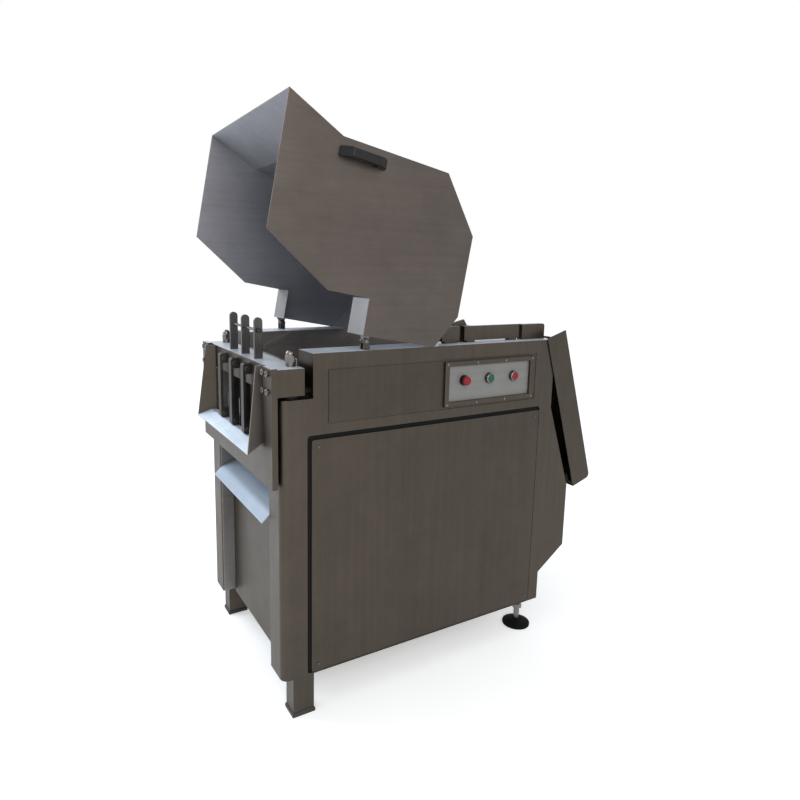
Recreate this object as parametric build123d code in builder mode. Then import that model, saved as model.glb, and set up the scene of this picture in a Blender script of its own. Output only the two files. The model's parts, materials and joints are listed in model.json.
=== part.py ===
from build123d import *
import math
import os

# Frozen meat flaker: a hydraulic guillotine for frozen blocks, in millimetres.
# +X runs from the knife end to the loading end, the control panel is on the -Y side, +Z is up.
# The origin is on the floor under the middle of the whole machine, hood open and table down.

# Cabinet
cabinet_width = 650.0
base_length = 937.0
skirt_height = 118.0
rim_height = 1021.0
wall_thickness = 95.0
sheet = 4.0
column_depth = 90.0
column_height = 903.0
rim_rear = 948.0
rear_knee_height = 794.0
bulge_rear = 1048.0
bulge_top = 510.0
bulge_bottom = 293.0
undercut_height = 215.0
corner_radius = 22.0
inner_corner_radius = 6.0
touch = 0.3
floor_bar_depth = 30.0
floor_bar_height = 46.0

# Base frame
tube = 60.0
tube_wall = 4.0
sill_from_side = 30.0
sill_front_gap = 10.0
cross_member_from_front = 150.0
cross_member_from_rear = 107.0
window_start = 110.0
window_from_rear = 67.0
window_top = 640.0

# Front legs and rear feet
leg_depth = 62.0
leg_width = 52.0
leg_from_front = 32.0
leg_from_side = 3.0
leg_cap_height = 12.0
leg_cap_lip = 3.0
leg_cap_chamfer = 2.4
foot_from_rear = 29.0
foot_from_side = 62.0
foot_disc_diameter = 94.0
foot_disc_height = 16.0
foot_disc_rim = 6.4
foot_disc_crown_diameter = 47.0
foot_socket_depth = 8.0
foot_stem_diameter = 20.0
foot_nut_across_flats = 30.0
foot_nut_height = 14.0
foot_boss_diameter = 40.0
foot_boss_height = 22.0
foot_nut_height_above_floor = 62.0

# Service panels and upper covers
panel_thickness = 3.0
seal_thickness = 3.0
seal_width = 19.0
seal_gap = 1.0
panel_front = 86.5
panel_from_rear = 42.0
panel_top = 791.5
panel_bottom = 123.0
panel_wide_gap = 13.0
panel_narrow_gap = 2.0
panel_corner_radius = 10.0
panel_edge_radius = 6.0
panel_ledge = 26.0
panel_screw_inset = 20.0
screw_head_diameter = 8.0
screw_head_height = 2.5
screw_rounding = 0.6
cover_front = 135.0
cover_from_rear = 82.0
cover_top = 976.0
cover_bottom = 836.0
cover_thickness = 2.0
cover_gap = 4.0

# Control panel
control_from_cover_rear = 14.0
control_length = 345.0
control_bottom = 838.5
control_height = 135.0
control_border = 14.0
control_frame_depth = 8.0
control_frame_chamfer = 1.5
control_plate_thickness = 2.0
control_screw_inset = 7.0
control_screw_columns = 4
small_screw_diameter = 7.0
small_screw_height = 2.4
button_height = 914.5
button_pitch = 96.5
button_offset = -3.5
button_bore_diameter = 22.0
bezel_diameter = 30.0
bezel_height = 9.0
bezel_chamfer = 2.0
collar_diameter = 32.0
collar_height = 3.0
button_cap_diameter = 23.4
button_cap_height = 5.0
button_proud = 1.0
button_rounding = 1.0
button_travel = 4.0
button_stem_diameter = 12.0
mushroom_diameter = 27.0
mushroom_height = 10.0
mushroom_clearance = 4.0
mushroom_rounding = 4.5
mushroom_back_rounding = 1.5
contact_block_size = 32.0
contact_block_depth = 46.0

# Front sheet and discharge chute
front_sheet_back = 43.0
front_sheet_thickness = 3.0
front_sheet_bottom = 110.0
chute_sheet = 3.0
chute_lip = (-21.0, 548.0)
chute_bend = (6.0, 573.0)
chute_back = (74.0, 593.0)
chute_back_top = 655.0
chute_bend_radii = (45.0, 9.0)

# Chute floor, guide strips and counter blade
floor_angle = 24.0
floor_start_height = 676.0
floor_flat_height = 1004.0
floor_sheet = 5.0
strip_thickness = 6.0
strip_height = 14.0
strip_rises = (133.0, 262.0)
strip_lengths = (425.0, 165.0)
strip_start = 110.0
counter_blade_depth = 12.0
counter_blade_height = 58.0
counter_blade_top = 680.0
counter_blade_bevel = 3.0

# Crosshead
beam_front = -7.0
beam_depth = 74.0
beam_height = 71.0
beam_end_gap = 2.0
beam_above_column = 10.0
front_plate_thickness = 16.0
front_plate_bottom = 671.0
front_plate_rise = 3.0
front_plate_chamfer = 4.0
upright_width = 63.0
shelf_root_height = 772.0
rod_from_front = 45.0
rod_from_side = 47.0
rod_diameter = 36.0
stud_diameter = 16.0
running_gap = 0.05
plate_bolt_columns = (25.0, 56.0)
plate_bolt_drops = (14.0, 61.0)
bolt_head_diameter = 16.0
bolt_head_height = 7.0
bolt_socket_radius = 4.5
bolt_socket_depth = 4.0
bolt_shank_diameter = 10.0
bolt_grip = 16.0
dome_nut_across_flats = 24.0
dome_nut_height = 16.0
dome_collar_diameter = 26.0
dome_collar_height = 12.0
dome_radius = 11.5
dome_neck = 4.0
lock_screw_diameter = 7.0
lock_screw_height = 17.0
lock_screw_inset = 4.0

# Scoop on the front plate
scoop_sheet = 2.5
cheek_root_half = 224.0
cheek_top_front = -35.0
scoop_tip = -64.0
scoop_tip_height = 754.0
scoop_tip_half = 250.0

# Knives
knife_pitch = 111.0
knife_count = 3
knife_thickness = 8.0
knife_front = 6.5
knife_stem_depth = 24.0
knife_top = 1099.0
knife_bottom = 690.0
knife_blade_front = -3.0
knife_blade_top = 850.0
slot_gap = 0.5
tie_rod_diameter = 8.0
tie_rod_drop = 36.0
tie_rod_end = 14.0
tie_rod_nut = 7.0
tie_rod_nut_radius = 6.8
knife_edge_height = 14.0
knife_edge_flat = 0.4
bracket_width = 22.0
bracket_depth = 23.0
bracket_height = 201.0
bracket_web = 8.0
bracket_arm = 30.0
bracket_radius = 7.0
bracket_bolt_diameter = 13.0
bracket_bolt_head = 4.0
bracket_shank_diameter = 8.0
main_blade_thickness = 12.0
main_blade_half = 225.0
main_blade_bottom = 674.0
main_blade_bevel = 10.0
blade_gap = 0.3
main_blade_flat = 0.5
blade_screw_pitch = 100.0
blade_screw_count = 5
blade_screw_height = 950.0
blade_screw_diameter = 8.0
blade_screw_head = 14.0
blade_screw_sink = 6.0

# Cylinders
barrel_diameter = 76.0
barrel_bore = 63.0
barrel_bottom = 250.0
barrel_top = 878.0
piston_bottom = 300.0
piston_height = 40.0
gland_diameter = 60.0
gland_flange_height = 8.0
gland_neck_diameter = 50.0
gland_chamfer = 2.0

# Hood
hood_tilt = 10.5
hood_sheet = 2.0
hood_side_gap = 1.5
hinge_from_front = 252.0
hinge_height = 1043.5
hinge_drop = 14.67
hood_bottom_length = 235.0
hood_notch_height = 99.0
hood_notch_depth = 125.0
hood_mouth_offset = 310.0
hood_mouth_low = 215.5
hood_mouth_high = 544.5
hood_brow = (-152.0, 478.5)
hood_top_rear = 178.0
hood_back = 300.0
hood_back_top = 331.5
hood_back_bottom = 97.5
flange_width = 88.0
handle_place = (-90.0, 441.5)
handle_length = 134.0
handle_grip_length = 86.0
handle_finger_length = 90.0
handle_finger_top = 66.0
handle_width = 24.0
handle_standoff = 34.0
handle_bar = 12.0
handle_foot_height = 8.0
handle_rounding = 4.0
hinge_pin_diameter = 10.0
hinge_pin_head_diameter = 16.0
hinge_ear_thickness = 5.0
hinge_ear_width = 18.0
hinge_ear_gap = 22.0
hinge_from_side = 10.0
hood_ear_from_side = 17.0
hood_ear_thickness = 8.0
hood_ear_radius = 9.0
hood_ear_height = 40.0

# Guide rails on the rims
rail_front = 525.0
rail_front_length = 64.5
rail_main_length = 219.0
rail_gap = 18.5
rail_end_gap = 12.0
rail_rear = 936.0
rail_height = 44.0
rail_thickness = 18.0
rail_from_side = 50.0
rail_chamfer = 2.0
rail_foot_height = 6.0
rail_foot_length = 30.0
rail_foot_inset = 10.0
end_block_thickness = 22.0
end_block_height = 49.0
end_block_radius = 10.0
stop_lug_front = 568.0
stop_lug_height = 69.0
stop_lug_length = 50.0
stop_lug_drop = 11.0
stop_lug_slant = 46.0

# Loading table at the rear
table_tilt = 17.5
table_anchor = (1100.0, 700.0)
table_top_reach = 367.0
table_length = 549.0
table_depth = 82.0
table_sheet = 2.5
table_open = 31.0
table_lip = 18.0
table_corner = 16.0
table_pivot_from_top = 40.0
table_pivot_depth = 12.0
table_side_gap = 1.5
table_pin_diameter = 10.0
table_lug_half = 200.0
table_lug_thickness = 12.0
table_lug_gap = 1.0
table_lug_eye = 9.2
table_lug_foot = 935.0
table_lug_shoulder = 1009.0
table_lug_shelf = 16.0
table_weld = 0.5
table_pin_length = 60.0
table_pin_head = 4.0
table_pin_head_diameter = 16.5
table_tab_width = 60.0
table_tab_height = 44.0
buffer_diameter = 28.0
buffer_half = 278.0
buffer_rise = 16.0

# Power pack
tank_front = 440.0
tank_length = 440.0
tank_width = 340.0
tank_height = 290.0
tank_sheet = 3.0
tank_lid_thickness = 8.0
motor_diameter = 190.0
motor_length = 260.0
motor_rear = 880.0
motor_foot_height = 22.0
motor_fin_count = 20
motor_fin_height = 7.0
motor_fin_thickness = 3.0
motor_fin_root = 1.0
motor_fan_cover_length = 46.0
motor_foot_length = 60.0
motor_foot_width = 150.0
coupling_housing_length = 90.0
coupling_housing_diameter = 150.0
pump_diameter = 90.0
pump_length = 90.0
pump_chamfer = 3.0
valve_front = 445.0
valve_length = 80.0
valve_width = 90.0
valve_height = 66.0
pipe_diameter = 14.0
pipe_spacing = 28.0
pipe_bend_radius = 30.0
pipe_rise_place = 130.0
lower_port_height = 505.0
upper_port_height = 850.0

# Places worked out from the sizes above
table_sine = math.sin(math.radians(table_tilt))
table_cosine = math.cos(math.radians(table_tilt))
table_bottom = table_length - table_top_reach
table_rear = (table_anchor[0] + (table_bottom - table_corner) * table_sine
              + table_corner * (1 - table_cosine))
front = -(scoop_tip + table_rear) / 2
half_width = cabinet_width / 2
throat_half = half_width - wall_thickness
window_end = base_length - window_from_rear
panel_rear = base_length - panel_from_rear
cover_rear = rim_rear - cover_from_rear
control_front = cover_rear - control_from_cover_rear - control_length
button_middle = control_front + control_length / 2 + button_offset
button_places = (button_middle - button_pitch, button_middle, button_middle + button_pitch)
beam_bottom = column_height + beam_above_column
beam_top = beam_bottom + beam_height
plate_top = beam_top + front_plate_rise
plate_back = front + beam_front
plate_front = plate_back - front_plate_thickness
beam_rear = plate_back + beam_depth
beam_half = half_width - beam_end_gap
rod_x = front + rod_from_front
rod_y = half_width - rod_from_side
sides = (-1, 1)
floor_start = (beam_front + beam_depth + main_blade_thickness + blade_gap
               + counter_blade_depth + touch)


def xz(y):
    """Plane across the cabinet at this y; extruding from it runs towards -Y."""
    return Plane.XZ.offset(-y)


def at_front(points):
    """Points given from the column's front face, moved into the part's frame."""
    return [(front + x, z) for x, z in points]


def both(thing):
    """The near piece and its mirror on the far side."""
    return [thing, thing.mirror(Plane.XZ)]


os.makedirs("parts", exist_ok=True)


def finish(piece, label):
    piece.part.label = label
    export_step(piece.part, f"parts/{label}.step")


# Side walls

wall_outline = at_front([
    (0, skirt_height),
    (0, column_height),
    (column_depth, column_height),
    (column_depth, rim_height),
    (rim_rear, rim_height),
    (rim_rear, rear_knee_height),
    (bulge_rear, bulge_top),
    (bulge_rear, bulge_bottom),
    (base_length, undercut_height),
    (base_length, skirt_height),
])
panel_opening_front = panel_front - panel_wide_gap
panel_opening_rear = panel_rear + panel_narrow_gap
panel_opening_top = panel_top + panel_wide_gap
panel_opening_bottom = panel_bottom - panel_narrow_gap
ledge_depth = panel_thickness + seal_thickness


def rectangle(x0, x1, z0, z1, radius=0.0):
    """A rectangle in the plane across the cabinet, from its edges."""
    with Locations(((x0 + x1) / 2, (z0 + z1) / 2)):
        if radius:
            RectangleRounded(x1 - x0, z1 - z0, radius)
        else:
            Rectangle(x1 - x0, z1 - z0)


def wall_block(inset):
    """The wall's solid, shrunk by inset on every face, with its bent front corners."""
    with BuildPart() as block:
        with BuildSketch(xz(-throat_half - inset)):
            with BuildLine():
                Polyline(*wall_outline, close=True)
            make_face()
            if inset:
                offset(amount=-inset, kind=Kind.INTERSECTION)
        extrude(amount=wall_thickness - 2 * inset)
        uprights = block.edges().filter_by(Axis.Z).group_by(Axis.X)[0].sort_by(Axis.Y)
        fillet(uprights[0], corner_radius - inset)
        fillet(block.edges().filter_by(Axis.Z).group_by(Axis.X)[0].sort_by(Axis.Y)[-1],
               inner_corner_radius - inset)
    return block.part


def side_wall(has_controls):
    """The near wall; the far one is its mirror, without the control panel's cut-outs."""
    outer_face = -half_width
    cavity = wall_block(sheet)
    with BuildPart() as wall:
        add(wall_block(0.0))
        add(cavity, mode=Mode.SUBTRACT)
        # Service opening with a rebated ledge behind the panel
        with BuildSketch(xz(outer_face + ledge_depth + sheet)):
            rectangle(front + panel_opening_front - sheet, front + panel_opening_rear + sheet,
                      skirt_height, panel_opening_top + sheet)
        extrude(amount=ledge_depth + sheet)
        with BuildSketch(xz(outer_face + ledge_depth)):
            rectangle(front + panel_opening_front, front + panel_opening_rear,
                      panel_opening_bottom, panel_opening_top, panel_corner_radius)
        extrude(amount=ledge_depth, mode=Mode.SUBTRACT)
        with BuildSketch(xz(outer_face + ledge_depth + sheet)):
            rectangle(front + panel_opening_front + panel_ledge,
                      front + panel_opening_rear - panel_ledge,
                      panel_opening_bottom + panel_ledge,
                      panel_opening_top - panel_ledge, panel_corner_radius)
        extrude(amount=sheet, mode=Mode.SUBTRACT)
        # Recess for the upper cover
        with BuildSketch(xz(outer_face + cover_thickness)):
            rectangle(front + cover_front - cover_gap, front + cover_rear + cover_gap,
                      cover_bottom - cover_gap, cover_top + cover_gap)
        extrude(amount=cover_thickness, mode=Mode.SUBTRACT)
        if has_controls:
            with BuildSketch(xz(outer_face + sheet)):
                rectangle(front + control_front + control_border,
                          front + control_front + control_length - control_border,
                          control_bottom + control_border,
                          control_bottom + control_height - control_border)
            extrude(amount=sheet, mode=Mode.SUBTRACT)
        # Inner face is open to the power pack below the chute
        with BuildSketch(xz(-throat_half)):
            rectangle(front + window_start, front + window_end,
                      skirt_height + sheet, window_top)
        extrude(amount=sheet, mode=Mode.SUBTRACT)
        # Hole for the rod gland in the column's top
        with Locations((rod_x, -rod_y, column_height)):
            Hole(gland_neck_diameter / 2 + touch, depth=sheet)
    return wall.part


with BuildPart() as side_wall_near:
    add(side_wall(True))
finish(side_wall_near, "side_wall_near")

with BuildPart() as side_wall_far:
    add(side_wall(False).mirror(Plane.XZ))
finish(side_wall_far, "side_wall_far")

# Base frame: two sills inside the walls, joined by cross members

sill_bottom = skirt_height + sheet
sill_y = half_width - sill_from_side - tube / 2
sill_length = base_length - 2 * sill_front_gap
with BuildPart() as base_frame:
    for side in sides:
        with BuildSketch(Plane.YZ.offset(front + sill_front_gap)):
            with Locations((side * sill_y, sill_bottom + tube / 2)):
                Rectangle(tube, tube)
                Rectangle(tube - 2 * tube_wall, tube - 2 * tube_wall, mode=Mode.SUBTRACT)
        extrude(amount=sill_length)
    cross_half = sill_y - tube / 2
    last_member = base_length - cross_member_from_rear
    for place in (cross_member_from_front, (cross_member_from_front + last_member) / 2,
                  last_member):
        with BuildSketch(Plane.XZ.offset(-cross_half)):
            with Locations((front + place, sill_bottom + tube / 2)):
                Rectangle(tube, tube)
                Rectangle(tube - 2 * tube_wall, tube - 2 * tube_wall, mode=Mode.SUBTRACT)
        extrude(amount=2 * cross_half)
finish(base_frame, "base_frame")

# Front legs with base caps

leg_x = front + leg_from_front + leg_depth / 2
leg_y = half_width - leg_from_side - leg_width / 2
with BuildPart() as front_legs:
    for side in sides:
        with BuildSketch(Plane.XY.offset(leg_cap_height)):
            with Locations((leg_x, side * leg_y)):
                Rectangle(leg_depth, leg_width)
                Rectangle(leg_depth - 2 * tube_wall, leg_width - 2 * tube_wall, mode=Mode.SUBTRACT)
        extrude(amount=skirt_height - leg_cap_height)
finish(front_legs, "front_legs")

with BuildPart() as leg_caps:
    for side in sides:
        with BuildSketch(Plane.XY):
            with Locations((leg_x, side * leg_y)):
                Rectangle(leg_depth + 2 * leg_cap_lip, leg_width + 2 * leg_cap_lip)
        extrude(amount=leg_cap_height)
    chamfer(leg_caps.faces().sort_by(Axis.Z)[-2:].edges(), leg_cap_chamfer)
finish(leg_caps, "leg_caps")

# Rear levelling feet

foot_x = front + base_length - foot_from_rear
foot_y = half_width - foot_from_side
stem_bottom = foot_disc_height - foot_socket_depth
with BuildPart() as foot_discs:
    with BuildSketch(Plane.XZ):
        with BuildLine():
            Polyline((0, 0), (foot_disc_diameter / 2, 0), (foot_disc_diameter / 2, foot_disc_rim),
                     (foot_disc_crown_diameter / 2, foot_disc_height), (0, foot_disc_height),
                     close=True)
        make_face()
    disc = revolve(axis=Axis.Z, mode=Mode.PRIVATE)
    for side in sides:
        add(disc.moved(Location((foot_x, side * foot_y, 0))))
        with Locations((foot_x, side * foot_y, foot_disc_height)):
            Hole(foot_stem_diameter / 2, depth=foot_disc_height - stem_bottom)
finish(foot_discs, "foot_discs")

with BuildPart() as foot_stems:
    for side in sides:
        with BuildSketch(Plane.XY.offset(stem_bottom)):
            with Locations((foot_x, side * foot_y)):
                Circle(foot_stem_diameter / 2)
        extrude(amount=skirt_height - touch - stem_bottom)
        with BuildSketch(Plane.XY.offset(foot_nut_height_above_floor)):
            with Locations((foot_x, side * foot_y)):
                RegularPolygon(foot_nut_across_flats / 2, 6, major_radius=False)
        extrude(amount=foot_nut_height)
finish(foot_stems, "foot_stems")

with BuildPart() as foot_bosses:
    for side in sides:
        with BuildSketch(Plane.XY.offset(skirt_height - foot_boss_height)):
            with Locations((foot_x, side * foot_y)):
                Circle(foot_boss_diameter / 2)
                Circle(foot_stem_diameter / 2, mode=Mode.SUBTRACT)
        extrude(amount=foot_boss_height)
finish(foot_bosses, "foot_bosses")

# Service panels, their seals and screws


def service_panel():
    """The near service panel."""
    with BuildPart() as panel:
        with BuildSketch(xz(-half_width + panel_thickness)):
            rectangle(front + panel_front, front + panel_rear, panel_bottom, panel_top,
                      panel_edge_radius)
        extrude(amount=panel_thickness)
    return panel.part


def panel_seal():
    """Rubber seal between the near service panel and its ledge."""
    with BuildPart() as seal:
        with BuildSketch(xz(-half_width + ledge_depth)):
            rectangle(front + panel_opening_front + seal_gap, front + panel_opening_rear - seal_gap,
                      panel_opening_bottom + seal_gap, panel_opening_top - seal_gap,
                      panel_corner_radius)
            with Locations((front + (panel_opening_front + panel_opening_rear) / 2,
                            (panel_opening_bottom + panel_opening_top) / 2)):
                Rectangle(panel_opening_rear - panel_opening_front - 2 * (seal_width + seal_gap),
                          panel_opening_top - panel_opening_bottom - 2 * (seal_width + seal_gap),
                          mode=Mode.SUBTRACT)
        extrude(amount=seal_thickness)
    return seal.part


with BuildPart() as service_panel_near:
    add(service_panel())
finish(service_panel_near, "service_panel_near")

with BuildPart() as service_panel_far:
    add(service_panel().mirror(Plane.XZ))
finish(service_panel_far, "service_panel_far")

with BuildPart() as panel_seals:
    for thing in both(panel_seal()):
        add(thing)
finish(panel_seals, "panel_seals")


def screw_head(x, y, z, diameter, height):
    """A domed screw head on a near outer face, pointing to -Y."""
    with BuildPart() as head:
        with BuildSketch(xz(y)):
            with Locations((x, z)):
                Circle(diameter / 2)
        extrude(amount=height)
        fillet(head.faces().sort_by(Axis.Y)[0].edges(), height * screw_rounding)
    return head.part


with BuildPart() as panel_screws:
    for px in (panel_front + panel_screw_inset, panel_rear - panel_screw_inset):
        for pz in (panel_bottom + panel_screw_inset, panel_top - panel_screw_inset):
            for thing in both(screw_head(front + px, -half_width, pz,
                                         screw_head_diameter, screw_head_height)):
                add(thing)
finish(panel_screws, "panel_screws")


def upper_cover(has_controls):
    """The near upper cover, in its shallow recess."""
    with BuildPart() as cover:
        with BuildSketch(xz(-half_width + cover_thickness)):
            rectangle(front + cover_front, front + cover_rear, cover_bottom, cover_top)
            if has_controls:
                with Locations((front + control_front + control_length / 2,
                                control_bottom + control_height / 2)):
                    Rectangle(control_length - 2 * control_border,
                              control_height - 2 * control_border, mode=Mode.SUBTRACT)
        extrude(amount=cover_thickness)
    return cover.part


with BuildPart() as upper_cover_near:
    add(upper_cover(True))
finish(upper_cover_near, "upper_cover_near")

with BuildPart() as upper_cover_far:
    add(upper_cover(False).mirror(Plane.XZ))
finish(upper_cover_far, "upper_cover_far")

# Control panel: raised frame, recessed face plate, three buttons

control_x = front + control_front + control_length / 2
control_z = control_bottom + control_height / 2
control_inner_length = control_length - 2 * control_border
control_inner_height = control_height - 2 * control_border
with BuildPart() as control_frame:
    with BuildSketch(xz(-half_width)):
        with Locations((control_x, control_z)):
            Rectangle(control_length, control_height)
            Rectangle(control_inner_length, control_inner_height, mode=Mode.SUBTRACT)
    extrude(amount=control_frame_depth)
    chamfer(control_frame.faces().sort_by(Axis.Y)[0].outer_wire().edges(),
            control_frame_chamfer)
finish(control_frame, "control_frame")

with BuildPart() as control_plate:
    with BuildSketch(xz(-half_width + control_plate_thickness)):
        with Locations((control_x, control_z)):
            Rectangle(control_inner_length, control_inner_height)
        with Locations(*[(front + place, button_height) for place in button_places]):
            Circle(button_bore_diameter / 2, mode=Mode.SUBTRACT)
    extrude(amount=control_plate_thickness)
finish(control_plate, "control_plate")

control_screw_pitch = (control_length - 2 * control_screw_inset) / (control_screw_columns - 1)
with BuildPart() as control_screws:
    for column in range(control_screw_columns):
        for pz in (control_bottom + control_screw_inset,
                   control_bottom + control_height - control_screw_inset):
            px = front + control_front + control_screw_inset + column * control_screw_pitch
            add(screw_head(px, -half_width - control_frame_depth, pz,
                           small_screw_diameter, small_screw_height))
finish(control_screws, "control_screws")

with BuildPart() as switch_collars:
    with BuildSketch(xz(-half_width)):
        for place in button_places:
            with Locations((front + place, button_height)):
                Circle(collar_diameter / 2)
                Circle(button_bore_diameter / 2, mode=Mode.SUBTRACT)
    extrude(amount=collar_height)
finish(switch_collars, "switch_collars")

with BuildPart() as switch_bezels:
    for place in button_places[1:]:
        with BuildSketch(xz(-half_width - collar_height)):
            with Locations((front + place, button_height)):
                Circle(bezel_diameter / 2)
                Circle(button_cap_diameter / 2 + touch, mode=Mode.SUBTRACT)
        extrude(amount=bezel_height)
    rims = switch_bezels.faces().filter_by(Axis.Y).group_by(Axis.Y)[0]
    chamfer([face.outer_wire().edges()[0] for face in rims], bezel_chamfer)
finish(switch_bezels, "switch_bezels")

# Each switch body stands behind the plate; its bush fills the bore
switch_bush_diameter = button_bore_diameter - 2 * touch
stem_end = -half_width + contact_block_depth / 2 - button_travel - touch
stem_room = button_stem_diameter / 2 + touch
with BuildPart() as contact_blocks:
    for place in button_places:
        with BuildSketch(xz(-half_width + control_plate_thickness + contact_block_depth)):
            with Locations((front + place, button_height)):
                Rectangle(contact_block_size, contact_block_size)
        extrude(amount=contact_block_depth)
        with BuildSketch(xz(-half_width + control_plate_thickness)):
            with Locations((front + place, button_height)):
                Circle(switch_bush_diameter / 2)
        extrude(amount=control_plate_thickness)
        with BuildSketch(xz(-half_width + contact_block_depth / 2)):
            with Locations((front + place, button_height)):
                Circle(stem_room)
        extrude(amount=contact_block_depth / 2 + sheet, mode=Mode.SUBTRACT)
finish(contact_blocks, "contact_blocks")


def push_button(place):
    """A round cap on its stem, standing a little beyond the bezel's rim."""
    cap_back = -half_width - collar_height - bezel_height - button_proud + button_cap_height
    with BuildPart() as button:
        with BuildSketch(xz(cap_back)):
            with Locations((front + place, button_height)):
                Circle(button_cap_diameter / 2)
        extrude(amount=button_cap_height)
        fillet(button.faces().sort_by(Axis.Y)[0].edges(), button_rounding)
        with BuildSketch(xz(stem_end)):
            with Locations((front + place, button_height)):
                Circle(button_stem_diameter / 2)
        extrude(amount=stem_end - cap_back)
    return button.part


with BuildPart() as start_button:
    add(push_button(button_places[1]))
finish(start_button, "start_button")

with BuildPart() as off_button:
    add(push_button(button_places[2]))
finish(off_button, "off_button")

mushroom_back = -half_width - collar_height - button_travel - mushroom_clearance
with BuildPart() as emergency_button:
    with BuildSketch(xz(mushroom_back)):
        with Locations((front + button_places[0], button_height)):
            Circle(mushroom_diameter / 2)
    extrude(amount=mushroom_height)
    fillet(emergency_button.faces().sort_by(Axis.Y)[0].edges(), mushroom_rounding)
    fillet(emergency_button.faces().sort_by(Axis.Y)[-1].edges(),
           mushroom_back_rounding)
    with BuildSketch(xz(stem_end)):
        with Locations((front + button_places[0], button_height)):
            Circle(button_stem_diameter / 2)
    extrude(amount=stem_end - mushroom_back)
finish(emergency_button, "emergency_button")

# Front sheet and folded discharge chute between the columns

chute_half = throat_half - touch
chute_slope = (chute_back[1] - chute_bend[1]) / (chute_back[0] - chute_bend[0])
front_sheet_top = (chute_bend[1] + chute_slope * (front_sheet_back - chute_bend[0])
                   - chute_sheet / math.cos(math.atan(chute_slope)))
with BuildPart() as front_sheet:
    with BuildSketch(Plane.YZ.offset(front + front_sheet_back)):
        with Locations((0, (front_sheet_bottom + front_sheet_top) / 2)):
            Rectangle(2 * throat_half, front_sheet_top - front_sheet_bottom)
    extrude(amount=front_sheet_thickness)
finish(front_sheet, "front_sheet")

with BuildPart() as discharge_chute:
    with BuildSketch(xz(chute_half)):
        with BuildLine():
            chute_line = FilletPolyline(*at_front([
                chute_lip, chute_bend, chute_back, (chute_back[0], chute_back_top)]),
                radius=chute_bend_radii)
            offset(chute_line, amount=chute_sheet, side=Side.RIGHT, kind=Kind.INTERSECTION)
        make_face()
    extrude(amount=2 * chute_half)
finish(discharge_chute, "discharge_chute")

# Chute floor: an incline that levels off at the loading end

floor_slope = math.tan(math.radians(floor_angle))
floor_knee = floor_start + (floor_flat_height - floor_start_height) / floor_slope
floor_drop = floor_sheet / math.cos(math.radians(floor_angle))
knee_shift = floor_sheet * math.tan(math.radians(floor_angle / 2))
with BuildPart() as chute_floor:
    with BuildSketch(xz(throat_half)):
        with BuildLine():
            Polyline(*at_front([
                (floor_start, floor_start_height),
                (floor_knee, floor_flat_height),
                (rim_rear - sheet, floor_flat_height),
                (rim_rear - sheet, floor_flat_height - floor_sheet),
                (floor_knee + knee_shift, floor_flat_height - floor_sheet),
                (floor_start, floor_start_height - floor_drop),
            ]), close=True)
        make_face()
    extrude(amount=2 * throat_half)
    # Bar welded under its low end, which carries the counter blade
    bar_top = floor_start_height - floor_drop / 2
    with BuildSketch(xz(throat_half)):
        with BuildLine():
            Polyline(*at_front([
                (floor_start - touch, bar_top - floor_bar_height),
                (floor_start - touch, bar_top),
                (floor_start + floor_bar_depth, bar_top + floor_slope * floor_bar_depth),
                (floor_start + floor_bar_depth, bar_top - floor_bar_height),
            ]), close=True)
        make_face()
    extrude(amount=2 * throat_half)
finish(chute_floor, "chute_floor")

floor_direction = (math.cos(math.radians(floor_angle)), 0, math.sin(math.radians(floor_angle)))


def guide_strip(rise, length):
    """A round-ended wear strip on the near inner wall, parallel to the chute floor."""
    low_z = floor_start_height + (strip_start - floor_start) * floor_slope + rise
    strip_plane = Plane(origin=(front + strip_start, -throat_half + strip_thickness, low_z),
                        x_dir=floor_direction, z_dir=(0, -1, 0))
    with BuildPart() as strip:
        with BuildSketch(strip_plane):
            with Locations((length / 2, 0)):
                SlotOverall(length, strip_height)
        extrude(amount=strip_thickness)
    return strip.part


with BuildPart() as guide_strips:
    for rise, length in zip(strip_rises, strip_lengths):
        for thing in both(guide_strip(rise, length)):
            add(thing)
finish(guide_strips, "guide_strips")

# Fixed counter blade at the foot of the chute, just behind the moving blade

counter_front = beam_rear + main_blade_thickness + blade_gap
with BuildPart() as counter_blade:
    with BuildSketch(xz(throat_half)):
        rectangle(counter_front, counter_front + counter_blade_depth,
                  counter_blade_top - counter_blade_height, counter_blade_top)
    extrude(amount=2 * throat_half)
    chamfer(counter_blade.edges().filter_by(Axis.Y).group_by(Axis.Z)[-1].sort_by(Axis.X)[-1],
            counter_blade_bevel)
finish(counter_blade, "counter_blade")

# Guide rails on both rims, with an end stop block and a lug beside each rail

rail_y = half_width - rail_from_side
rail_bottom = rim_height + rail_foot_height
lug_thickness = 2 * sheet
rail_main_front = rail_front + rail_front_length + rail_gap
rail_seam = rail_main_front + rail_main_length + rail_end_gap


def guide_rail():
    """The near rim's two rails, a short one and the main one, on their feet."""
    with BuildPart() as rail:
        for start, length in ((rail_front, rail_front_length), (rail_main_front, rail_main_length)):
            with BuildSketch(xz(-rail_y + rail_thickness / 2)):
                rectangle(front + start, front + start + length,
                          rail_bottom, rail_bottom + rail_height)
                for foot in (start + rail_foot_inset,
                             start + length - rail_foot_inset - rail_foot_length):
                    rectangle(front + foot, front + foot + rail_foot_length, rim_height, rail_bottom)
            extrude(amount=rail_thickness)
        chamfer(rail.edges().filter_by(Axis.X).group_by(Axis.Z)[-1], rail_chamfer)
    return rail.part


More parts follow.
